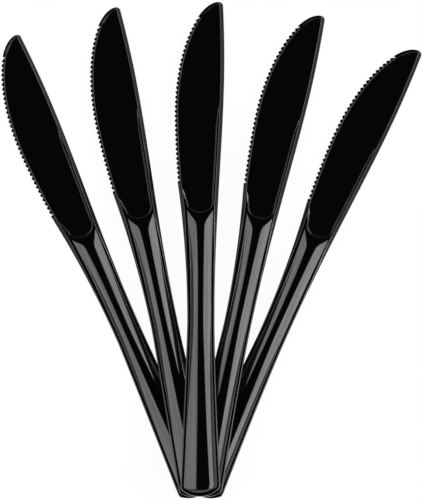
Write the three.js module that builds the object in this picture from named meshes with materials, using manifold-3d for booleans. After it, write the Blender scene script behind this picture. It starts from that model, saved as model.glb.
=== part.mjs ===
// Plastic cutlery pack: five identical moulded table knives, fanned out from their handle ends.
// Each knife is one piece of glossy plastic: a hollow arched handle that ends in a U-shaped
// scoop, and a thin flat blade with a thick spine rib on one side and fine teeth on the other.
// Millimetres, +Z up. The pack lies flat, its middle knife along +Y, its cutting edges towards -X.

import * as THREE from 'three';
import { mergeVertices } from 'three/addons/utils/BufferGeometryUtils.js';
import Module from 'manifold-3d';

const wasm = await Module();
wasm.setup();

// Lengths along the knife, from the handle end
const handleLength = 120;
const bladeLength = 70.3;
const waistAt = 66.8;
const bellyFromHeel = 27;
const spinePeakFromTip = 22;
const knifeLength = handleLength + bladeLength;

// Distances of the outline from the long axis, on the cutting side and on the spine side
const buttCuttingSide = 7.5;
const buttSpineSide = 8.15;
const waistCuttingSide = 4.75;
const waistSpineSide = 5.7;
const heelCuttingSide = 8.35;
const bellyCuttingSide = 9.67;
const bladeSpineSide = 9.48;
const spineEndSide = 8.9;
const tipSpineSide = 7.2;
const buttEndRadius = 10.6;
const buttCornerRadius = 2;
const tipCornerRadius = 1.4;

// How each stretch of the outline bends: 1 is straight, more bends later, below 1 is blunt
const buttCuttingBend = 1.12;
const buttSpineBend = 1.55;
const shoulderBend = 2.08;
const spineRiseBend = 1.15;
const heelBend = 1.8;
const tipBend = 0.55;

// Handle: a flat rim all round, an arch on it, and a hollow under the arch
const rimHeight = 1.4;
const rimLiftAtShoulder = 0.6;
const rimWidth = 1.3;
const shoulderCuttingRimWidth = 2.2;
const shoulderSpineRimWidth = 1.7;
const edgeRounding = 0.5;
const buttRimWidth = 1.15;
const buttArchFrom = 2.9;
const buttWallRun = 0.5;
const buttWallBend = 1.4;
const buttArchHeight = 2.2;
const waistArchHeight = 2.15;
const shoulderArchHeight = 1.55;
const buttCrownShift = 1.6;
const waistCrownShift = -0.35;
const handleWall = 1.25;
const hollowSideWall = 0.25;
const hollowFromButt = 4.4;
const hollowEndSlope = 3;

// How full the arch is on either side of its highest line: 2 is a parabola, more is boxier
const archFullness = 2;
const buttFullness = 3.2;

// Blade: the flat that the scoop ends in, the step round it and the rib along the spine
const plateThickness = 1.5;
const flatFromHeel = 10.6;
const flatEndRound = 3.6;
const flatEndCuttingSide = 4.4;
const flatEndSpineSide = 4.8;
const stepWidth = 0.75;
const scoopRoll = 6.2;
const scoopRollEnd = 0.95;
const sideBevelGrowth = 22;
const roundingTurnsIn = 8;
const sideBevelsRun = 3.6;
const heelWidening = 1.1;
const ribWidth = 2.8;
const ribRise = 0.6;
const ribFullFromHeel = 5;
const ribGoneFromHeel = 35;
const sideBevelWidth = 1.3;
const sideBevelDrop = 1.05;

// Cutting edge
const edgeThickness = 0.7;
const toothLand = 0.85;
const bevelWidth = 0.5;
const heelHalfWidth = 0.4;
const toothCount = 35;
const toothDepth = 0.8;
const firstNotchFromHeel = 1.7;
const plainEdgeAtTip = 6.3;

// The fan
const knifeCount = 5;
const fanStep = 12;
const restingClearance = 0.3;

const bellyAt = handleLength + bellyFromHeel;
const bellyRun = knifeLength - bellyAt;
const spinePeakAt = knifeLength - spinePeakFromTip;
const flatStart = handleLength - flatFromHeel;
const flatRoundEnd = flatStart + flatEndRound;
const hollowEnd = flatStart - stepWidth - handleWall;
const rollStart = flatStart - scoopRoll;
const bevelGrowsFrom = flatRoundEnd - sideBevelGrowth;

// Fineness of the model: end slices, the least share of the width between two lines along the
// knife, how sections crowd towards a bend, the tooth cutter, and the grid for stacking
const endSlice = 0.05;
const leastColumn = 1 / 80;
const startCrowding = 1.7;
const endCrowding = 2.2;
const closeAtStart = (part) => part ** startCrowding;
const closeAtEnd = (part) => 1 - (1 - part) ** endCrowding;
const combPoints = 40;
const cutterOvershoot = 1;
const toothTipGap = 0.02;
const seatingSteps = 80;
const seatingStepsAcross = 20;
const seatingPasses = 3;
const seatingHalvings = 12;

const clamp = THREE.MathUtils.clamp;
const mix = THREE.MathUtils.lerp;
const smooth = (value, from, to) => THREE.MathUtils.smoothstep(value, from, to);

// Reach of the rounded handle end to one side: a wide end arc with a small arc at the corner
function buttEndReach(y, side) {
  const cornerX = side - buttCornerRadius;
  const reachToCorner = buttEndRadius - buttCornerRadius;
  const cornerY = buttEndRadius - Math.sqrt(reachToCorner ** 2 - cornerX ** 2);
  const joinY = buttEndRadius - (buttEndRadius - cornerY) * buttEndRadius / reachToCorner;
  if (y >= cornerY) return side;
  if (y > joinY) return cornerX + Math.sqrt(buttCornerRadius ** 2 - (y - cornerY) ** 2);
  return Math.sqrt(buttEndRadius ** 2 - (buttEndRadius - y) ** 2);
}

// Outline on the cutting side, through the tips of the teeth
function cuttingOutline(y) {
  if (y > bellyAt) {
    const run = clamp((knifeLength - y) / bellyRun, 0, 1);
    const reach = tipSpineSide + bellyCuttingSide;
    return tipSpineSide - reach * (1 - (1 - run) ** 2) ** tipBend;
  }
  if (y > handleLength) {
    const back = (bellyAt - y) / (bellyAt - handleLength);
    return -mix(bellyCuttingSide, heelCuttingSide, back ** heelBend);
  }
  if (y > waistAt) {
    const run = (y - waistAt) / (handleLength - waistAt);
    return -mix(waistCuttingSide, heelCuttingSide, run ** shoulderBend);
  }
  const side = mix(waistCuttingSide, buttCuttingSide, ((waistAt - y) / waistAt) ** buttCuttingBend);
  return -buttEndReach(y, side);
}

// Outline on the spine side, with the small round corner at the tip
function spineOutline(y) {
  if (y > spinePeakAt) {
    const run = (y - spinePeakAt) / spinePeakFromTip;
    const side = mix(bladeSpineSide, spineEndSide, run ** 2);
    const corner = clamp((y - knifeLength + tipCornerRadius) / tipCornerRadius, 0, 1);
    return mix(tipSpineSide, side, Math.sqrt(1 - corner ** 2));
  }
  if (y > waistAt) {
    const run = ((y - waistAt) / (spinePeakAt - waistAt)) ** spineRiseBend;
    return mix(waistSpineSide, bladeSpineSide, smooth(run, 0, 1));
  }
  const side = mix(waistSpineSide, buttSpineSide, ((waistAt - y) / waistAt) ** buttSpineBend);
  return buttEndReach(y, side);
}

// How much longer a line across the knife is than one square to the outline there
function leanFactor(outline, y) {
  const before = clamp(y - endSlice, 0, knifeLength);
  const after = clamp(y + endSlice, 0, knifeLength);
  return Math.hypot(1, (outline(after) - outline(before)) / (after - before));
}

// Distance from the outline, measured square to it
function distanceInside(outline, x, y) {
  return Math.abs(x - outline(y)) / leanFactor(outline, y);
}

// Across the handle: the arch's highest line, its two feet, its height above the rim and how
// full it is on the spine side
function archAt(y) {
  const along = clamp(y / waistAt, 0, 1);
  const forward = clamp((y - waistAt) / (flatStart - waistAt), 0, 1);
  const toShoulder = smooth(forward, 0, 1);
  const rearHeight = mix(buttArchHeight, waistArchHeight, smooth(along, 0, 1));
  const height = mix(rearHeight, shoulderArchHeight, toShoulder);
  const crownShift = mix(mix(buttCrownShift, waistCrownShift, along), 0, forward);
  const cuttingFoot = cuttingOutline(y) + mix(rimWidth, shoulderCuttingRimWidth, toShoulder);
  const spineFoot = spineOutline(y) - mix(rimWidth, shoulderSpineRimWidth, toShoulder);
  const crown = (cuttingFoot + spineFoot) / 2 + crownShift;
  const spineFullness = mix(buttFullness, archFullness, along);
  return { crown, cuttingFoot, spineFoot, height, spineFullness };
}

// Share of the arch's height that is left near its ends: a steep wall at the butt, whose foot
// follows the round end, and a soft roll-off all round the scoop
function archEnds(x, y) {
  const innerRadius = buttEndRadius - buttRimWidth;
  const wallFoot = buttEndRadius - Math.sqrt(Math.max(innerRadius ** 2 - x ** 2, 0));
  const wallTop = Math.max(buttArchFrom, wallFoot + buttWallRun);
  const upWall = clamp((y - wallFoot) / (wallTop - wallFoot), 0, 1);
  const fromScoop = Math.max(-depthInFlat(x, y), 0);
  const rolled = clamp(1 - fromScoop / scoopRoll, 0, scoopRollEnd);
  return (1 - (1 - upWall) ** buttWallBend) * (1 - rolled ** 2);
}

// The arch on its rim, which rises a little towards the scoop
function handleTop(x, y) {
  const arch = archAt(y);
  const onCuttingSide = x < arch.crown;
  const foot = onCuttingSide ? arch.cuttingFoot : arch.spineFoot;
  const span = Math.max(Math.abs(foot - arch.crown), endSlice);
  const across = Math.min(Math.abs(x - arch.crown) / span, 1);
  const arched = 1 - across ** (onCuttingSide ? archFullness : arch.spineFullness);
  const rim = rimHeight + rimLiftAtShoulder * smooth(y, rollStart, flatRoundEnd);
  return rim + arch.height * arched * archEnds(x, y);
}

// The flat's two long edges, where the scoop widens towards the heel and follows the rib
function flatSides(y) {
  const toHeel = clamp((y - flatRoundEnd) / (handleLength - flatRoundEnd), 0, 1);
  const bevelEnd = cuttingOutline(y) + (toothLand + bevelWidth) * leanFactor(cuttingOutline, y);
  const cutting = mix(-flatEndCuttingSide, bevelEnd, toHeel ** heelWidening);
  const ribFoot = spineOutline(y) - ribWidth;
  const spine = mix(flatEndSpineSide, ribFoot, smooth(y, flatRoundEnd, handleLength));
  return { cutting, spine };
}

// How far a point lies inside the U-shaped flat; negative outside it
function depthInFlat(x, y) {
  const sides = flatSides(Math.max(y, flatRoundEnd));
  if (y >= flatRoundEnd) return Math.min(x - sides.cutting, sides.spine - x);
  const fromMiddle = Math.hypot(x, flatRoundEnd - y);
  const side = x < 0 ? flatEndCuttingSide : flatEndSpineSide;
  const share = Math.hypot(x / side, (flatRoundEnd - y) / flatEndRound);
  return fromMiddle / Math.max(share, 1e-6) - fromMiddle;
}

// Width of the bevel beside the handle's edge, which grows to that of the blade's sides
function edgeBevelWidth(y) {
  return mix(edgeRounding, sideBevelWidth, smooth(y, bevelGrowsFrom, flatRoundEnd));
}

// How far the top falls beside an edge: a small rounding that turns into the bevel
function edgeDrop(fromEdge, y) {
  const rounding = clamp(1 - fromEdge / edgeRounding, 0, 1);
  const rounded = edgeRounding * (1 - Math.sqrt(1 - rounding ** 2));
  const bevelled = Math.max(edgeBevelWidth(y) - fromEdge, 0) * sideBevelDrop / sideBevelWidth;
  return mix(rounded, bevelled, smooth(y, bevelGrowsFrom - roundingTurnsIn, bevelGrowsFrom));
}

// Height of the blade outside its flat: the rib along the spine and the shoulder beside the
// scoop, each bevelled down to its edge, and the plate's own bevel to the teeth
function bladeSides(x, y, fromCutting, fromSpine) {
  const toRibEnd = smooth(y, handleLength + ribFullFromHeel, handleLength + ribGoneFromHeel);
  const cuttingCrest = plateThickness + ribRise * (1 - smooth(y, flatRoundEnd, handleLength));
  const spineCrest = plateThickness + ribRise * (1 - toRibEnd);
  const crest = mix(cuttingCrest, spineCrest, smooth(x, -stepWidth, stepWidth));
  const toothed = smooth(y, handleLength - heelHalfWidth, handleLength + heelHalfWidth);
  const land = toothLand * toothed;
  const edge = mix(crest - sideBevelDrop, edgeThickness, toothed);
  const upBevel = clamp((fromCutting - land) / (toothLand + bevelWidth - land), 0, 1);
  const upSpine = clamp(fromSpine / sideBevelWidth, 0, 1);
  const spineSide = mix(crest - sideBevelDrop, crest, upSpine);
  const plate = mix(edgeThickness, plateThickness, upBevel);
  return { sides: Math.min(mix(edge, crest, upBevel), spineSide), plate };
}

// Upper surface of the knife
function topHeight(x, y) {
  const fromCutting = distanceInside(cuttingOutline, x, y);
  const fromSpine = distanceInside(spineOutline, x, y);
  const fromButt = buttEndRadius - Math.hypot(x, Math.max(buttEndRadius - y, 0));
  const nearestSide = Math.min(fromCutting, fromSpine);
  const nearestEdge = y < buttEndRadius ? Math.min(nearestSide, fromButt) : nearestSide;
  const handle = handleTop(x, y) - edgeDrop(nearestEdge, y);
  const { sides, plate } = bladeSides(x, y, fromCutting, fromSpine);
  const toBevels = smooth(y, flatRoundEnd, flatRoundEnd + sideBevelsRun);
  const raised = mix(handle, sides, toBevels);
  const flat = mix(plateThickness, plate, smooth(y, flatRoundEnd, handleLength));
  return mix(raised, flat, smooth(depthInFlat(x, y), -stepWidth, 0));
}

// Roof of the hollow under the handle, a wall below the arch; nothing outside the hollow
function hollowRoof(x, y) {
  const arch = archAt(y);
  const insideCutting = x - arch.cuttingFoot - hollowSideWall;
  const insideSpine = arch.spineFoot - hollowSideWall - x;
  if (Math.min(insideCutting, insideSpine) < -1e-6) return 0;
  const depth = handleTop(x, y) - handleWall;
  const fromEnds = Math.min(y - hollowFromButt, hollowEnd - y) / hollowEndSlope;
  return Math.max(depth, 0) * clamp(fromEnds, 0, 1);
}

// A closed solid through rings of points, each ring star-shaped about its own middle
function loft(rings) {
  const count = rings[0].length;
  const positions = rings.flat(2);
  const triangles = [];
  for (let ring = 0; ring < rings.length - 1; ring++) {
    for (let point = 0; point < count; point++) {
      const next = (point + 1) % count;
      const here = ring * count + point;
      const beside = ring * count + next;
      triangles.push(here, here + count, beside, beside, here + count, beside + count);
    }
  }
  for (const ring of [0, rings.length - 1]) {
    const middle = positions.length / 3;
    for (let axis = 0; axis < 3; axis++) {
      positions.push(rings[ring].reduce((sum, point) => sum + point[axis], 0) / count);
    }
    for (let point = 0; point < count; point++) {
      const pair = [ring * count + point, ring * count + (point + 1) % count];
      triangles.push(middle, ...(ring === 0 ? pair : pair.reverse()));
    }
  }
  const geometry = new THREE.BufferGeometry();
  geometry.setAttribute('position', new THREE.Float32BufferAttribute(positions, 3));
  geometry.setIndex(triangles);
  return geometry;
}

function toSolid(geometry) {
  const bare = geometry.clone();
  bare.deleteAttribute('normal');
  bare.deleteAttribute('uv');
  const merged = mergeVertices(bare, 1e-5);
  return new wasm.Manifold(new wasm.Mesh({
    numProp: 3,
    vertProperties: new Float32Array(merged.attributes.position.array),
    triVerts: new Uint32Array(merged.index.array),
  }));
}

function toGeometry(solid) {
  const mesh = solid.getMesh();
  const geometry = new THREE.BufferGeometry();
  geometry.setAttribute('position', new THREE.BufferAttribute(mesh.vertProperties, 3));
  geometry.setIndex(new THREE.BufferAttribute(mesh.triVerts, 1));
  geometry.computeVertexNormals();
  return geometry;
}

// Places between two lengths, closer together where spacing says so
function spread(from, to, count, spacing = (part) => part) {
  return Array.from({ length: count }, (_, index) => mix(from, to, spacing(index / count)));
}

// Cross-sections of the whole knife, from the butt end to the tip
function knifeRings() {
  const stations = [
    ...spread(endSlice, buttRimWidth, 3, closeAtStart),
    ...spread(buttRimWidth, buttArchFrom + buttWallRun, 5),
    ...spread(buttArchFrom + buttWallRun, rollStart, 9),
    ...spread(rollStart, flatStart, 5),
    ...spread(flatStart, flatRoundEnd, 6, closeAtStart),
    flatRoundEnd,
    ...spread(flatRoundEnd + sideBevelsRun, handleLength - heelHalfWidth, 3),
    handleLength - heelHalfWidth,
    ...spread(handleLength + heelHalfWidth, knifeLength - endSlice, 18, closeAtEnd),
    knifeLength - endSlice,
  ];
  return stations.map((y) => {
    const left = cuttingOutline(y);
    const right = spineOutline(y);
    const edgeLean = leanFactor(cuttingOutline, y);
    const toScoop = smooth(y, rollStart, flatStart + stepWidth);
    const toBlade = smooth(y, flatStart, flatRoundEnd);
    const { crown, cuttingFoot, spineFoot } = archAt(y);
    const sides = flatSides(y);
    const back = clamp((flatRoundEnd - y) / flatEndRound, 0, 1);
    const open = Math.sqrt(1 - back ** 2);
    const flatLeft = sides.cutting * open;
    const flatRight = sides.spine * open;
    const outerLeft = mix(cuttingFoot, left + (toothLand + bevelWidth) * edgeLean, toBlade);
    const outerRight = mix(spineFoot, right - sideBevelWidth, toBlade);
    const across = [
      left,
      left + mix(edgeBevelWidth(y), toothLand * edgeLean, toBlade),
      outerLeft,
      mix(mix(cuttingFoot, crown, 0.25), (outerLeft + flatLeft - stepWidth) / 2, toScoop),
      mix(mix(cuttingFoot, crown, 0.5), flatLeft - stepWidth, toScoop),
      mix(mix(cuttingFoot, crown, 0.75), flatLeft, toScoop),
      mix(crown, (flatLeft + flatRight) / 2, toScoop),
      mix(mix(spineFoot, crown, 0.75), flatRight, toScoop),
      mix(mix(spineFoot, crown, 0.5), flatRight + stepWidth, toScoop),
      mix(mix(spineFoot, crown, 0.2), (outerRight + flatRight + stepWidth) / 2, toScoop),
      outerRight,
      right - mix(edgeBevelWidth(y), sideBevelWidth / 2, toBlade),
      right,
    ];
    const least = (right - left) * leastColumn;
    const placed = [];
    across.forEach((x, index) => {
      const lowest = index === 0 ? left : placed[index - 1] + least;
      const highest = right - (across.length - 1 - index) * least;
      placed.push(clamp(x, lowest, highest));
    });
    const top = placed.map((x) => [x, y, topHeight(x, y)]);
    return [...top, [right, y, 0], [left, y, 0]].reverse();
  });
}

// The hollow, reaching below the knife so that it cuts clean through the rim's plane
function hollowRings() {
  const stations = [
    hollowFromButt,
    ...spread(hollowFromButt + hollowEndSlope, hollowEnd - hollowEndSlope, 8),
    hollowEnd - hollowEndSlope,
    hollowEnd,
  ];
  return stations.map((y) => {
    const { crown, cuttingFoot, spineFoot } = archAt(y);
    const left = cuttingFoot + hollowSideWall;
    const right = spineFoot - hollowSideWall;
    const roof = [left, mix(left, crown, 0.4), crown, mix(right, crown, 0.4), right];
    const top = roof.map((x) => [x, y, hollowRoof(x, y)]);
    return [...top, [right, y, -cutterOvershoot], [left, y, -cutterOvershoot]].reverse();
  });
}

// Notches between the teeth, evenly spaced along the curved edge, as one comb-shaped cutter
function toothComb() {
  const from = handleLength + firstNotchFromHeel;
  const to = knifeLength - plainEdgeAtTip;
  const points = [...spread(from, to, combPoints), to].map((y) => new THREE.Vector2(cuttingOutline(y), y));
  const edge = new THREE.SplineCurve(points);
  const steps = toothCount * 2;
  const zigzag = [];
  const outside = [];
  for (let step = 0; step <= steps; step++) {
    const at = edge.getPointAt(step / steps);
    const direction = edge.getTangentAt(step / steps);
    const normal = new THREE.Vector2(-direction.y, direction.x);
    const depth = step % 2 === 0 ? toothDepth : -toothTipGap;
    zigzag.push(at.clone().addScaledVector(normal, -depth));
    outside.push(at.clone().addScaledVector(normal, cutterOvershoot));
  }
  const shape = new THREE.Shape([...zigzag, ...outside.reverse()]);
  const depth = plateThickness + 2 * cutterOvershoot;
  const comb = new THREE.ExtrudeGeometry(shape, { depth, bevelEnabled: false });
  comb.translate(0, 0, -cutterOvershoot);
  return comb;
}

const knifeSolid = toSolid(loft(knifeRings()))
  .subtract(toSolid(loft(hollowRings())))
  .subtract(toSolid(toothComb()));
const knifeGeometry = toGeometry(knifeSolid);

const blackPolystyrene = new THREE.MeshStandardMaterial({
  color: 0x0b0b0c,
  roughness: 0.12,
  metalness: 0,
});

// Outermost knives lie lowest and the middle one on top, taken from the two sides in turn
function stackingPlace(place) {
  return place % 2 === 0 ? 1 + place / 2 : knifeCount - (place - 1) / 2;
}

// A knife's place in the fan: its tip on the table and its handle end lifted
function placeKnife(knife, number, lift) {
  const turn = THREE.MathUtils.degToRad(((knifeCount + 1) / 2 - number) * fanStep);
  knife.rotation.set(-Math.asin(lift / knifeLength), 0, turn, 'ZXY');
  knife.position.set(0, 0, lift);
  knife.updateMatrix();
}

// Smallest height left between a knife's underside and the tops of the knives below it
function roomBelow(knife, knivesBelow) {
  const inverses = knivesBelow.map((lower) => lower.matrix.clone().invert());
  const under = new THREE.Vector3();
  const probe = new THREE.Vector3();
  let room = Infinity;
  for (let along = 0; along <= seatingSteps; along++) {
    const y = mix(endSlice, handleLength, along / seatingSteps);
    for (let across = 0; across <= seatingStepsAcross; across++) {
      const x = mix(cuttingOutline(y), spineOutline(y), across / seatingStepsAcross);
      under.set(x, y, hollowRoof(x, y)).applyMatrix4(knife.matrix);
      for (const inverse of inverses) {
        let height = under.z;
        for (let pass = 0; pass < seatingPasses; pass++) {
          probe.set(under.x, under.y, height).applyMatrix4(inverse);
          height += topHeight(probe.x, clamp(probe.y, 0, knifeLength)) - probe.z;
        }
        const beyondEnds = probe.y < 0 || probe.y > knifeLength;
        if (beyondEnds || probe.x < cuttingOutline(probe.y)) continue;
        if (probe.x > spineOutline(probe.y)) continue;
        room = Math.min(room, under.z - height);
      }
    }
  }
  return room;
}

// The lowest lift at which a knife lies clear on the knives below it
function restingLift(knife, number, knivesBelow) {
  let low = 0;
  let high = knifeCount * (rimHeight + buttArchHeight + restingClearance);
  for (let halving = 0; halving < seatingHalvings; halving++) {
    const lift = (low + high) / 2;
    placeKnife(knife, number, lift);
    if (roomBelow(knife, knivesBelow) < restingClearance) low = lift;
    else high = lift;
  }
  return high;
}

const pack = new THREE.Group();
for (let place = 0; place < knifeCount; place++) {
  const number = stackingPlace(place);
  const knife = new THREE.Mesh(knifeGeometry.clone(), blackPolystyrene.clone());
  knife.name = `knife_${number}`;
  placeKnife(knife, number, place === 0 ? 0 : restingLift(knife, number, pack.children));
  pack.add(knife);
}

// The origin is on the table, under the middle of the fan
const bounds = new THREE.Box3().setFromObject(pack, true);
const middle = bounds.getCenter(new THREE.Vector3());
pack.position.set(-middle.x, -middle.y, -bounds.min.z);
pack.updateMatrixWorld(true);

export default pack;
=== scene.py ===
"""A pack of glossy black disposable table knives, fanned out on a white table."""

import bmesh
import bpy
import numpy as np
from mathutils import Matrix, Vector


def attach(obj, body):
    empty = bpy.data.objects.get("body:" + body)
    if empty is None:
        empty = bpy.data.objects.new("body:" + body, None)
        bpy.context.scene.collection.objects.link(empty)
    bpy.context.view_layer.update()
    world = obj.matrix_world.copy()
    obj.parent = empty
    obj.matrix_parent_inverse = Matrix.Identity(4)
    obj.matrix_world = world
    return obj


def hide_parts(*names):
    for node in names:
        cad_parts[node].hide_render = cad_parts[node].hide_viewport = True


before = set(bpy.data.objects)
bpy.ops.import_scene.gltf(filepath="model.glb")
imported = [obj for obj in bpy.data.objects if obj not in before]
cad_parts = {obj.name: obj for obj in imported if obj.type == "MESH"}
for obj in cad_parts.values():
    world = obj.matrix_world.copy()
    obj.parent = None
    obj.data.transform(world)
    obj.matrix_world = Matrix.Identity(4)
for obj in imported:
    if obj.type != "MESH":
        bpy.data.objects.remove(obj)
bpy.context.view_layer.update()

# The knives: each is one injection moulding of black polystyrene. A hollow arched handle
# stands on a flat rim and ends in a U-shaped scoop; the blade is a thin plate with a rib
# along its spine and fine teeth on its other edge. They lie loose on each other.

MM = 0.001

handle_length = 120.0
blade_length = 70.3
waist_at = 66.8
belly_from_heel = 27.0
spine_peak_from_tip = 22.0
knife_length = handle_length + blade_length
belly_at = handle_length + belly_from_heel
spine_peak_at = knife_length - spine_peak_from_tip

butt_cutting_side = 7.5
butt_spine_side = 8.15
waist_cutting_side = 4.75
waist_spine_side = 5.7
heel_cutting_side = 8.35
belly_cutting_side = 9.67
blade_spine_side = 9.48
spine_end_side = 8.9
tip_spine_side = 7.2
butt_end_radius = 10.6
butt_corner_radius = 2.0
tip_corner_radius = 1.4

# How each stretch of the outline bends: 1 is straight, more bends later, below 1 is blunt
butt_cutting_bend = 1.12
butt_spine_bend = 1.55
shoulder_bend = 2.08
spine_rise_bend = 1.15
heel_bend = 1.8
tip_bend = 0.55

# Handle: a flat rim all round, an arch on it, and a hollow under the arch. How full the arch
# is on either side of its highest line: 2 is a parabola, more is boxier
rim_height = 1.4
rim_lift_at_shoulder = 0.6
rim_width = 1.3
shoulder_cutting_rim_width = 2.2
shoulder_spine_rim_width = 1.7
edge_rounding = 0.5
butt_rim_width = 1.15
butt_arch_from = 2.9
butt_wall_run = 0.5
butt_wall_bend = 2.0
butt_arch_height = 2.2
waist_arch_height = 1.7
shoulder_arch_height = 1.55
butt_crown_shift = 1.6
waist_crown_shift = -0.35
butt_fullness = 3.2
arch_fullness = 2.0
handle_wall = 1.25
hollow_side_wall = 0.25
hollow_from_butt = 4.4
hollow_end_slope = 3.0

# Blade: the flat that the scoop ends in, the step round it and the rib along the spine
plate_thickness = 1.5
flat_from_heel = 10.6
flat_start = handle_length - flat_from_heel
flat_end_round = 3.6
flat_end_cutting_side = 4.6
flat_end_spine_side = 4.8
flat_round_end = flat_start + flat_end_round
step_width = 0.4
faded_step_width = 0.08
scoop_roll = 6.2
scoop_roll_end = 0.95
roll_start = flat_start - scoop_roll
side_bevel_growth = 22.0
rounding_turns_in = 8.0
side_bevels_run = 3.6
bevel_grows_from = flat_round_end - side_bevel_growth
bevel_starts = bevel_grows_from - rounding_turns_in
bevels_full_at = flat_round_end + side_bevels_run
heel_widening = 1.5
rib_width = 2.35
rib_rise = 0.6
rib_full_from_heel = 5.0
rib_narrows_from_heel = 22.0
rib_gone_from_heel = 36.0
rib_full_until = handle_length + rib_full_from_heel
rib_narrows_from = handle_length + rib_narrows_from_heel
rib_gone_at = handle_length + rib_gone_from_heel
side_bevel_width = 1.3
side_bevel_drop = 1.05
hollow_end = flat_start - step_width - handle_wall

# Cutting edge: teeth on a flat land, and a bevel behind them
edge_thickness = 0.7
tooth_land = 0.85
bevel_width = 0.5
heel_half_width = 0.4
tooth_count = 35
tooth_depth = 0.8
notch_bend = 1.6
notch_end_margin = 0.4
first_notch_from_heel = 1.7
plain_edge_at_tip = 6.3
first_notch = handle_length + first_notch_from_heel
last_notch = knife_length - plain_edge_at_tip


def mix(a, b, share):
    return a + (b - a) * share


def smooth(value, low, high):
    share = np.clip((value - low) / (high - low), 0.0, 1.0)
    return share * share * (3.0 - 2.0 * share)


def butt_end_reach(y, side):
    """Half width near the rounded handle end: a wide end arc and a small corner arc."""
    to_corner = butt_end_radius - butt_corner_radius
    corner_x = side - butt_corner_radius
    corner_y = butt_end_radius - np.sqrt(to_corner**2 - corner_x**2)
    join_y = butt_end_radius - (butt_end_radius - corner_y) * butt_end_radius / to_corner
    corner = np.sqrt(np.maximum(butt_corner_radius**2 - (y - corner_y) ** 2, 0.0))
    end = np.sqrt(np.maximum(butt_end_radius**2 - (butt_end_radius - y) ** 2, 0.0))
    return np.where(y >= corner_y, side, np.where(y > join_y, corner_x + corner, end))


def cutting_outline(y):
    """Outline on the cutting side, through the tips of the teeth."""
    run = np.clip((knife_length - y) / (knife_length - belly_at), 0.0, 1.0)
    reach = tip_spine_side + belly_cutting_side
    to_tip = tip_spine_side - reach * (1.0 - (1.0 - run) ** 2) ** tip_bend
    back = np.clip((belly_at - y) / (belly_at - handle_length), 0.0, 1.0)
    belly = -mix(belly_cutting_side, heel_cutting_side, back**heel_bend)
    run = np.clip((y - waist_at) / (handle_length - waist_at), 0.0, 1.0)
    shoulder = -mix(waist_cutting_side, heel_cutting_side, run**shoulder_bend)
    run = np.clip((waist_at - y) / waist_at, 0.0, 1.0)
    side = mix(waist_cutting_side, butt_cutting_side, run**butt_cutting_bend)
    butt = -butt_end_reach(y, side)
    stretches = [y > belly_at, y > handle_length, y > waist_at]
    return np.select(stretches, [to_tip, belly, shoulder], butt)


def spine_outline(y):
    """Outline on the spine side, with the small round corner at the tip."""
    run = np.clip((y - spine_peak_at) / spine_peak_from_tip, 0.0, 1.0)
    side = mix(blade_spine_side, spine_end_side, run**2)
    corner = np.clip((y - knife_length + tip_corner_radius) / tip_corner_radius, 0.0, 1.0)
    to_tip = mix(tip_spine_side, side, np.sqrt(1.0 - corner**2))
    run = np.clip((y - waist_at) / (spine_peak_at - waist_at), 0.0, 1.0)
    blade = mix(waist_spine_side, blade_spine_side, smooth(run**spine_rise_bend, 0.0, 1.0))
    run = np.clip((waist_at - y) / waist_at, 0.0, 1.0)
    butt = butt_end_reach(y, mix(waist_spine_side, butt_spine_side, run**butt_spine_bend))
    return np.select([y > spine_peak_at, y > waist_at], [to_tip, blade], butt)


def lean_factor(outline, y):
    """How much longer a line across the knife is than one square to the outline."""
    nearby = 0.05
    before = np.clip(y - nearby, 0.0, knife_length)
    after = np.clip(y + nearby, 0.0, knife_length)
    return np.hypot(1.0, (outline(after) - outline(before)) / (after - before))


def inside(outline, x, y):
    """Distance of a point from one outline, square to it."""
    return np.abs(x - outline(y)) / lean_factor(outline, y)


def arch_at(y):
    """The arch's highest line, its two feet, its height and how full its spine side is."""
    along = np.clip(y / waist_at, 0.0, 1.0)
    forward = np.clip((y - waist_at) / (flat_start - waist_at), 0.0, 1.0)
    to_shoulder = smooth(forward, 0.0, 1.0)
    rear = mix(butt_arch_height, waist_arch_height, smooth(along, 0.0, 1.0))
    height = mix(rear, shoulder_arch_height, to_shoulder)
    shift = mix(mix(butt_crown_shift, waist_crown_shift, along), 0.0, forward)
    cutting_foot = cutting_outline(y) + mix(rim_width, shoulder_cutting_rim_width, to_shoulder)
    spine_foot = spine_outline(y) - mix(rim_width, shoulder_spine_rim_width, to_shoulder)
    fullness = mix(butt_fullness, arch_fullness, along)
    crown = (cutting_foot + spine_foot) / 2.0 + shift
    return crown, cutting_foot, spine_foot, height, fullness


def handle_top(x, y):
    """The arch on its rim, with a steep wall at the butt and rolled off before the scoop."""
    crown, cutting_foot, spine_foot, height, fullness = arch_at(y)
    least_span = 0.01
    foot = np.where(x < crown, cutting_foot, spine_foot)
    span = np.maximum(np.abs(foot - crown), least_span)
    across = np.minimum(np.abs(x - crown) / span, 1.0)
    arched = 1.0 - across ** np.where(x < crown, arch_fullness, fullness)
    inner_radius = butt_end_radius - butt_rim_width
    wall_foot = butt_end_radius - np.sqrt(np.maximum(inner_radius**2 - x**2, 0.0))
    wall_top = np.maximum(butt_arch_from, wall_foot + butt_wall_run)
    up_wall = np.clip((y - wall_foot) / (wall_top - wall_foot), 0.0, 1.0)
    from_scoop = np.maximum(-depth_in_flat(x, y), 0.0)
    rolled = np.clip(1.0 - from_scoop / scoop_roll, 0.0, scoop_roll_end)
    ends = (1.0 - (1.0 - up_wall) ** butt_wall_bend) * (1.0 - rolled**2)
    rim = rim_height + rim_lift_at_shoulder * smooth(y, roll_start, flat_round_end)
    return rim + height * arched * ends


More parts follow.
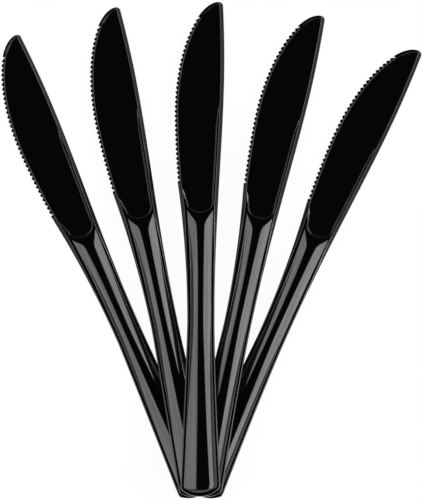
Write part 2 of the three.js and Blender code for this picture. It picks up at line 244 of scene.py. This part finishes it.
def flat_sides(y):
    """The two long edges of the blade's flat."""
    to_heel = np.clip((y - flat_round_end) / (handle_length - flat_round_end), 0.0, 1.0)
    widened = 1.0 - (1.0 - to_heel) ** heel_widening
    edge_width = (tooth_land + bevel_width) * lean_factor(cutting_outline, y)
    cutting = mix(-flat_end_cutting_side, cutting_outline(y) + edge_width, widened)
    narrowing = smooth(y, rib_narrows_from, rib_gone_at)
    rib_foot = spine_outline(y) - mix(rib_width, side_bevel_width, narrowing)
    spine = mix(flat_end_spine_side, rib_foot, smooth(y, flat_round_end, handle_length))
    return cutting, spine


def depth_in_flat(x, y):
    """How far a point lies inside the U-shaped flat; negative outside it."""
    cutting, spine = flat_sides(np.maximum(y, flat_round_end))
    from_middle = np.hypot(x, flat_round_end - y)
    side = np.where(x < 0.0, flat_end_cutting_side, flat_end_spine_side)
    share = np.hypot(x / side, (flat_round_end - y) / flat_end_round)
    least_share = 1e-6
    around = from_middle / np.maximum(share, least_share) - from_middle
    return np.where(y >= flat_round_end, np.minimum(x - cutting, spine - x), around)


def edge_drop(from_edge, y):
    """Fall of the top beside an edge: a small rounding that turns into the blade's wide bevel."""
    rounding = np.clip(1.0 - from_edge / edge_rounding, 0.0, 1.0)
    rounded = edge_rounding * (1.0 - np.sqrt(1.0 - rounding**2))
    bevel = mix(edge_rounding, side_bevel_width, smooth(y, bevel_grows_from, flat_round_end))
    bevelled = np.maximum(bevel - from_edge, 0.0) * side_bevel_drop / side_bevel_width
    return mix(rounded, bevelled, smooth(y, bevel_starts, bevel_grows_from))


def blade_sides(x, y, from_cutting, from_spine):
    """The rib along the spine and the shoulder beside the scoop, each bevelled to its edge."""
    cutting_crest = plate_thickness + rib_rise * (1.0 - smooth(y, flat_round_end, handle_length))
    spine_crest = plate_thickness + rib_rise * (1.0 - smooth(y, rib_full_until, rib_gone_at))
    crest = mix(cutting_crest, spine_crest, smooth(x, -step_width, step_width))
    toothed = smooth(y, handle_length - heel_half_width, handle_length + heel_half_width)
    land = tooth_land * toothed
    edge = mix(crest - side_bevel_drop, edge_thickness, toothed)
    up_bevel = np.clip((from_cutting - land) / (tooth_land + bevel_width - land), 0.0, 1.0)
    up_spine = np.clip(from_spine / side_bevel_width, 0.0, 1.0)
    plate = mix(edge_thickness, plate_thickness, up_bevel)
    cutting_side = mix(edge, crest, up_bevel)
    spine_side = mix(crest - side_bevel_drop, crest, up_spine)
    return np.minimum(cutting_side, spine_side), plate


def top_height(x, y):
    """The knife's upper surface."""
    from_cutting = inside(cutting_outline, x, y)
    from_spine = inside(spine_outline, x, y)
    from_butt = butt_end_radius - np.hypot(x, np.maximum(butt_end_radius - y, 0.0))
    near_edge = np.minimum(from_cutting, from_spine)
    near_edge = np.where(y < butt_end_radius, np.minimum(near_edge, from_butt), near_edge)
    handle = handle_top(x, y) - edge_drop(near_edge, y)
    sides, plate = blade_sides(x, y, from_cutting, from_spine)
    raised = mix(handle, sides, smooth(y, flat_round_end, bevels_full_at))
    flat = mix(plate_thickness, plate, smooth(y, flat_round_end, handle_length))
    step = mix(step_width, faded_step_width, smooth(y, rib_full_until, rib_gone_at))
    scooped = smooth(depth_in_flat(x, y), -step, 0.0)
    return mix(raised, flat, scooped)


# Points closer together than this count as one.
hair = 0.001


def hollow_roof(x, y):
    """Roof of the hollow under the handle, a wall below the arch; zero outside it."""
    _, cutting_foot, spine_foot, _, _ = arch_at(y)
    beside = np.minimum(x - cutting_foot, spine_foot - x) - hollow_side_wall
    from_ends = np.minimum(y - hollow_from_butt, hollow_end - y) / hollow_end_slope
    depth = np.maximum(handle_top(x, y) - handle_wall, 0.0) * np.clip(from_ends, 0.0, 1.0)
    return np.where(beside > -hair, depth, 0.0)


def tooth_wave(y):
    """How far the toothed edge stands back from the outline, evenly along the edge."""
    short_steps = 4000
    fine = np.linspace(first_notch, last_notch, short_steps)
    steps = np.hypot(np.diff(fine), np.diff(cutting_outline(fine)))
    run = np.concatenate([[0.0], np.cumsum(steps)])
    phase = np.interp(y, fine, run) / run[-1] * tooth_count
    toothed = (y > first_notch - notch_end_margin) & (y < last_notch + notch_end_margin)
    valley = np.abs(phase - np.floor(phase) - 0.5) * 2.0
    return np.where(toothed, valley**notch_bend, 0.0) * tooth_depth


def spread(low, high, count, power=1.0):
    """Places from low up to high, without high; a power of 2 crowds them towards low."""
    return mix(low, high, (np.arange(count) / count) ** power)


# The mesh has rows across the knife, close together at its ends, round the scoop and along
# the teeth. Its columns follow the two edges at set distances, in millimetres, and the rest
# lie between and crowd together along the step round the flat.
scoop_rows_from = flat_start - 0.8
scoop_rows_turn_at = flat_start + 0.6
scoop_rows_to = flat_round_end + 0.4
last_row_inset = 0.002
rows = np.clip(
    np.concatenate([
        spread(0.0, butt_rim_width, 20, 2.0),
        spread(butt_rim_width, butt_arch_from + butt_wall_run, 34),
        spread(butt_arch_from + butt_wall_run, roll_start, 90),
        spread(roll_start, scoop_rows_from, 20),
        spread(scoop_rows_from, scoop_rows_turn_at, 20),
        spread(scoop_rows_turn_at, scoop_rows_to, 24),
        spread(scoop_rows_to, handle_length, 26),
        spread(handle_length, last_notch, 320),
        knife_length - spread(0.0, knife_length - last_notch, 46, 2.0)[::-1],
    ]),
    last_row_inset,
    knife_length - last_row_inset,
)
cutting_columns = np.array([
    0.0, 0.04, 0.1, 0.18, 0.28, 0.38, 0.48, 0.6, 0.72, 0.85,
    0.97, 1.1, 1.2, 1.3, 1.35, 1.5, 1.65, 1.9, 2.2,
])
spine_columns = np.array([
    0.0, 0.04, 0.1, 0.18, 0.28, 0.38, 0.48, 0.7, 0.9, 1.1, 1.22, 1.3, 1.38, 1.5, 1.62,
    1.74, 1.85, 1.95, 2.02, 2.09, 2.16, 2.22, 2.28, 2.35, 2.45,
])
middle_columns = 76
under_columns = 24
edge_share_of_width = 0.3
step_crowding = 3.0
step_crowding_reach = 0.5
crowding_from = flat_start + 0.2
crowding_full_at = flat_start + 1.6
crowding_gone_at = handle_length + 4.0
even_places = 600


def edge_lines(columns, outline, width):
    """Columns that follow one outline at set distances, closer where the knife is narrow."""
    lines = columns[None, :] * lean_factor(outline, rows)[:, None]
    return lines * np.minimum(1.0, edge_share_of_width * width / lines[:, -1])[:, None]


def middle_lines(low, high):
    """The columns between the edge columns, spaced evenly by a density that each row has."""
    x = mix(low, high, np.linspace(0.0, 1.0, even_places)[None, :])
    cutting, spine = flat_sides(np.maximum(rows, flat_round_end))
    into_round = np.clip((flat_round_end - rows) / flat_end_round, 0.0, 1.0)
    round_share = np.sqrt(1.0 - into_round**2)
    onset = smooth(rows, crowding_from, crowding_full_at)
    crowding = step_crowding * onset * (1.0 - smooth(rows, handle_length, crowding_gone_at))
    density = np.ones_like(x)
    for step_middle in (cutting - step_width / 2.0, spine + step_width / 2.0):
        from_step = x - (step_middle * round_share)[:, None]
        density += crowding[:, None] * np.exp(-((from_step / step_crowding_reach) ** 2))
    run = np.cumsum(density, axis=1)
    run = (run - run[:, :1]) / (run[:, -1:] - run[:, :1])
    shares = np.linspace(0.0, 1.0, middle_columns + 2)[1:-1]
    return np.array([np.interp(shares, run_row, x_row) for run_row, x_row in zip(run, x)])


# The hollow's edges keep between these shares of the width in from the knife's sides, a fold
# beyond this angle stays sharp, and each knife takes its own slice of the plastic's pattern.
hollow_edge_least = 0.1
hollow_edge_most = 0.3
sharp_from_degrees = 55.0
pattern_step = 40.0


def knife_mesh(name, number):
    """The whole moulding as one closed mesh, in its own frame, with its underside at zero."""
    left = cutting_outline(rows)
    right = spine_outline(rows)
    width = right - left
    from_left = edge_lines(cutting_columns, cutting_outline, width)
    from_right = edge_lines(spine_columns, spine_outline, width)
    lean = lean_factor(cutting_outline, rows)
    notch = tooth_wave(rows) * lean
    land = tooth_land * lean
    squeezed = np.maximum(1.0 - from_left / land[:, None], 0.0) * notch[:, None]
    inner_left = (left + from_left[:, -1])[:, None]
    inner_right = (right - from_right[:, -1])[:, None]
    top_x = np.concatenate([
        left[:, None] + from_left,
        middle_lines(inner_left, inner_right),
        (right[:, None] - from_right)[:, ::-1],
    ], axis=1)
    top_z = top_height(top_x, rows[:, None])
    top_x[:, : len(cutting_columns)] += squeezed
    _, cutting_foot, spine_foot, _, _ = arch_at(rows)
    least = hollow_edge_least * width
    most = hollow_edge_most * width
    under_left = np.clip(cutting_foot + hollow_side_wall, left + least, left + most)[:, None]
    under_right = np.clip(spine_foot - hollow_side_wall, right - most, right - least)[:, None]
    under_x = mix(under_right, under_left, np.linspace(0.0, 1.0, under_columns)[None, :])
    under_z = hollow_roof(under_x, rows[:, None])
    flat = np.zeros_like(under_left)
    x = np.concatenate(
        [top_x, top_x[:, -1:], under_right, under_x, under_left, top_x[:, :1]], axis=1
    )
    z = np.concatenate([top_z, flat, flat, under_z, flat, flat], axis=1)
    y = np.repeat(rows[:, None], x.shape[1], axis=1)
    points = np.stack([x, y, z], axis=2).reshape(-1, 3)
    ring = np.arange(x.size).reshape(x.shape)
    here = ring[:-1]
    there = ring[1:]
    walls = np.stack([here, np.roll(here, -1, 1), np.roll(there, -1, 1), there], axis=2)
    faces = walls.reshape(-1, 4).tolist() + [ring[0][::-1].tolist(), ring[-1].tolist()]
    mesh = bpy.data.meshes.new(name)
    mesh.from_pydata((points * MM).tolist(), [], faces)
    place = mesh.attributes.new("place_on_knife", "FLOAT_VECTOR", "POINT")
    place.data.foreach_set("vector", (points + [0.0, 0.0, number * pattern_step]).ravel())
    joined = bmesh.new()
    joined.from_mesh(mesh)
    bmesh.ops.remove_doubles(joined, verts=joined.verts, dist=hair * MM)
    joined.to_mesh(mesh)
    joined.free()
    mesh.polygons.foreach_set("use_smooth", [True] * len(mesh.polygons))
    mesh.set_sharp_from_angle(angle=np.radians(sharp_from_degrees))
    return mesh


def srgb(hex_colour):
    """An sRGB hex colour as linear red, green, blue and full alpha."""
    parts = [int(hex_colour[i:i + 2], 16) / 255.0 for i in (1, 3, 5)]
    return [p / 12.92 if p <= 0.04045 else ((p + 0.055) / 1.055) ** 2.4 for p in parts] + [1.0]


def add_node(material, kind, links=(), **settings):
    """A shader node with its settings, and links given as (input, other node, output)."""
    node = material.node_tree.nodes.new(kind)
    for key, value in settings.items():
        if key.startswith("in_"):
            name = key[3:]
            socket = node.inputs[int(name) if name.isdigit() else name.replace("_", " ")]
            socket.default_value = value
        else:
            setattr(node, key, value)
    for socket, other, output in links:
        material.node_tree.links.new(other.outputs[output], node.inputs[socket])
    return node


# Moulded polystyrene, black all through. Its polished mould leaves a hard mirror gloss.
# The plastic shrinks a little as it cools, so reflections waver gently, and the lines in
# which it flowed into the mould shine a little less than the rest. Sizes are millimetres.
shrink_wave_across = 6.25
shrink_wave_along = 33.0
shrink_depth = 0.02
flow_line_across = 0.9
flow_line_along = 50.0
flow_line_shine = 0.4
clear_shine = 0.55
polystyrene = bpy.data.materials.new("black_moulded_polystyrene")
polystyrene.use_nodes = True
polystyrene.node_tree.nodes.clear()
place = add_node(polystyrene, "ShaderNodeAttribute", attribute_name="place_on_knife")
long_waves = add_node(
    polystyrene,
    "ShaderNodeMapping",
    [("Vector", place, "Vector")],
    in_Scale=(1.0 / shrink_wave_across, 1.0 / shrink_wave_along, 1.0),
)
shrinkage = add_node(
    polystyrene,
    "ShaderNodeTexNoise",
    [("Vector", long_waves, "Vector")],
    in_Scale=1.0,
    in_Detail=2.0,
)
ripples = add_node(
    polystyrene,
    "ShaderNodeBump",
    [("Height", shrinkage, "Fac")],
    in_Strength=1.0,
    in_Distance=shrink_depth * MM,
)
flow_lines = add_node(
    polystyrene,
    "ShaderNodeMapping",
    [("Vector", place, "Vector")],
    in_Scale=(1.0 / flow_line_across, 1.0 / flow_line_along, 1.0),
)
flow = add_node(
    polystyrene,
    "ShaderNodeTexNoise",
    [("Vector", flow_lines, "Vector")],
    in_Scale=1.0,
    in_Detail=2.0,
)
shine = add_node(
    polystyrene,
    "ShaderNodeMapRange",
    [("Value", flow, "Fac")],
    in_From_Min=0.35,
    in_From_Max=0.65,
    in_To_Min=flow_line_shine,
    in_To_Max=clear_shine,
)
gloss = add_node(
    polystyrene,
    "ShaderNodeBsdfPrincipled",
    [("Normal", ripples, "Normal"), ("Specular IOR Level", shine, "Result")],
    in_Base_Color=srgb("#030303"),
    in_Roughness=0.08,
    in_IOR=1.59,
)
add_node(polystyrene, "ShaderNodeOutputMaterial", [("Surface", gloss, "BSDF")])

# The five knives lie where their solids lie: turned by equal steps, each with its tip on the
# table and its handle end lifted by the knives below it.
knife_count = 5
middle_knife = 3
fan_step = 12.0
butt_slice = 0.1
for number in range(1, knife_count + 1):
    node_name = f"knife_{number}"
    turn = Matrix.Rotation(np.radians((middle_knife - number) * fan_step), 4, "Z")
    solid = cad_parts[node_name]
    corners = np.array([turn.inverted() @ v.co for v in solid.data.vertices]) / MM
    butt_end = corners[:, 1].min()
    lift = corners[corners[:, 1] < butt_end + butt_slice][:, 2].min()
    seat = Vector((corners[:, 0].max() - blade_spine_side, butt_end, lift)) * MM
    pitch = Matrix.Rotation(-np.arcsin(lift / knife_length), 4, "X")
    mesh = knife_mesh(f"moulded_knife_{number}", number)
    mesh.transform(turn @ Matrix.Translation(seat) @ pitch)
    mesh.materials.append(polystyrene)
    knife = bpy.data.objects.new(f"moulded_knife_{number}", mesh)
    bpy.context.collection.objects.link(knife)
    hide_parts(node_name)
    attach(knife, "root")

# The table top: plain white, and large enough to fill every view. The emission keeps it
# white for the camera and in reflections, and the rest of it takes the knives' shadow.
floor_size = 6.0
floor_glow = 0.95
half = floor_size / 2.0
floor_corners = [(-half, -half, 0), (half, -half, 0), (half, half, 0), (-half, half, 0)]
floor_mesh = bpy.data.meshes.new("white_table_top")
floor_mesh.from_pydata(floor_corners, [], [(0, 1, 2, 3)])
white = bpy.data.materials.new("matt_white_laminate")
white.use_nodes = True
white.node_tree.nodes.clear()
paths = add_node(white, "ShaderNodeLightPath")
seen = add_node(
    white,
    "ShaderNodeMath",
    [(0, paths, "Is Camera Ray"), (1, paths, "Is Glossy Ray")],
    operation="MAXIMUM",
)
seen_through = add_node(
    white,
    "ShaderNodeMath",
    [(0, seen, "Value"), (1, paths, "Is Transmission Ray")],
    operation="MAXIMUM",
)
glow_share = add_node(
    white, "ShaderNodeMath", [(0, seen_through, "Value")], operation="MULTIPLY", in_1=floor_glow
)
matt = add_node(white, "ShaderNodeBsdfDiffuse", in_Color=srgb("#f4f4f4"))
glow = add_node(white, "ShaderNodeEmission", in_Color=srgb("#ffffff"), in_Strength=1.0)
surface = add_node(
    white,
    "ShaderNodeMixShader",
    [("Fac", glow_share, "Value"), (1, matt, "BSDF"), (2, glow, "Emission")],
)
add_node(white, "ShaderNodeOutputMaterial", [("Surface", surface, "Shader")])
floor_mesh.materials.append(white)
table_top = bpy.data.objects.new("white_table_top", floor_mesh)
bpy.context.collection.objects.link(table_top)

# Two long soft boxes, one on each side, leave the space above dark, as in a product
# studio: they draw the bright bands along the arched handles and leave the flats black.
# The right one reaches lower and is brighter. For each: its side, its upper and lower edge
# in degrees from overhead, and its watts per square metre.
lamp_distance = 2.2
lamp_along = 3.0
soft_boxes = (
    (-1.0, 26.0, 66.0, 8.5),
    (1.0, 27.0, 74.0, 13.0),
)
for side, upper_edge, lower_edge, brightness in soft_boxes:
    from_overhead = np.radians((upper_edge + lower_edge) / 2.0)
    lamp = bpy.data.lights.new("soft_box", "AREA")
    lamp.shape = "RECTANGLE"
    lamp.size = 2.0 * lamp_distance * np.tan(np.radians((lower_edge - upper_edge) / 2.0))
    lamp.size_y = lamp_along
    lamp.energy = brightness * lamp.size * lamp_along
    box_lamp = bpy.data.objects.new("soft_box", lamp)
    box_lamp.rotation_euler = (0.0, side * from_overhead, 0.0)
    reach = side * lamp_distance * np.sin(from_overhead)
    box_lamp.location = (reach, 0.0, lamp_distance * np.cos(from_overhead))
    box_lamp.visible_camera = False
    bpy.context.collection.objects.link(box_lamp)

# Far from the table the studio's pale walls show low down, and its ceiling stays dark. The
# walls fade out between two heights, each given as the sine of its angle above the horizon.
wall_glow = 0.65
ceiling_glow = 0.02
walls_full_to = 0.3
walls_gone_at = 0.42
world = bpy.data.worlds.new("studio")
world.use_nodes = True
world.node_tree.nodes.clear()
paths = add_node(world, "ShaderNodeLightPath")
direction = add_node(world, "ShaderNodeNewGeometry")
height = add_node(world, "ShaderNodeSeparateXYZ", [("Vector", direction, "Position")])
walls = add_node(
    world,
    "ShaderNodeMapRange",
    [("Value", height, "Z")],
    in_From_Min=walls_full_to,
    in_From_Max=walls_gone_at,
    in_To_Min=wall_glow,
    in_To_Max=ceiling_glow,
)
glow = add_node(
    world, "ShaderNodeMix", [("Factor", paths, "Is Camera Ray"), ("A", walls, "Result")], in_B=1.0
)
studio = add_node(world, "ShaderNodeBackground", [("Strength", glow, "Result")])
add_node(world, "ShaderNodeOutputWorld", [("Surface", studio, "Background")])
bpy.context.scene.world = world

# The camera looks straight down on the pack from far above, as the photograph does.
camera_height = 5.0
view_height = 0.1919
view_centre_x = -0.07
view_centre_y = 0.1
sensor_size = 36.0
camera = bpy.data.cameras.new("camera")
camera.sensor_width = sensor_size
camera.lens = sensor_size * camera_height / view_height
camera.clip_end = 50.0
camera_object = bpy.data.objects.new("camera", camera)
camera_object.location = (view_centre_x * MM, view_centre_y * MM, camera_height)
bpy.context.collection.objects.link(camera_object)
bpy.context.scene.camera = camera_object
bpy.context.scene.view_settings.view_transform = "Standard"
